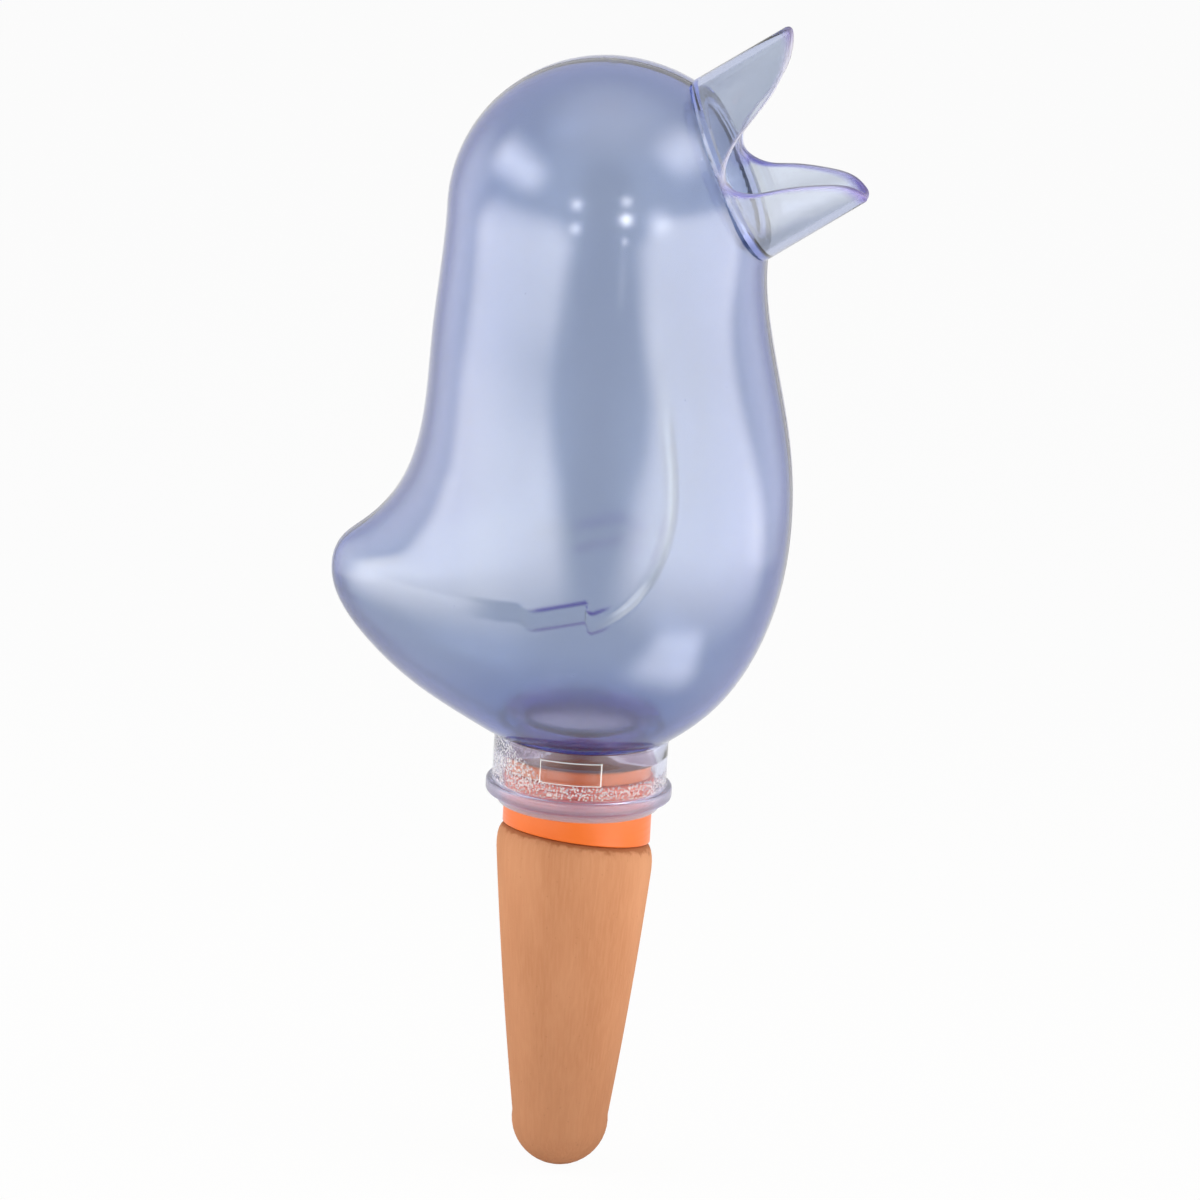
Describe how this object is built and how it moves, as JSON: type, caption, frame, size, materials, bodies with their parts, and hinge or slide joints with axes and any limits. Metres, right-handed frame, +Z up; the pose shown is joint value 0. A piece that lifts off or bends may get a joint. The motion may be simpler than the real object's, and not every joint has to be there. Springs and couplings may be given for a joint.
{
  "type": "plant watering bulb",
  "caption": "Hollow bird-shaped water bulb with an open beak for filling, on a stopper and a porous clay spike that waters a potted plant.",
  "frame": {"origin": "on the spike's axis at the soil line, where the plug's collar meets the top of the clay", "axes": "+Z up along the spike's axis, +X the way the bird looks, +Y to the bird's left"},
  "size_m": [0.1042, 0.0744, 0.2385],
  "materials": {
    "tinted_shell": "clear blue-violet tinted styrene, glossy",
    "clear_plastic": "clear styrene with a faint violet tint, glossy",
    "seal": "ribbed soft rubber",
    "stopper": "orange soft plastic, satin",
    "adhesive": "cured brown bond",
    "clay": "unglazed fired clay with fine brush marks"
  },
  "bodies": {
    "spike": {"clay_cone": "clay", "adhesive_ring": "adhesive", "plug": "stopper"},
    "seal": {"seal_ring": "seal"},
    "bird": {"right_half_shell": "tinted_shell", "left_half_shell": "tinted_shell", "beak_spout": "clear_plastic", "neck_collar": "clear_plastic"}
  },
  "joints": [
    {"name": "turn", "type": "hinge", "parent": "spike", "child": "seal", "pos_m": [0, 0, 0.0104], "axis": [0, 0, 1], "continuous": true},
    {"name": "lift", "type": "slide", "parent": "seal", "child": "bird", "axis": [0, 0, 1], "range_m": [0, 0.05]}
  ]
}
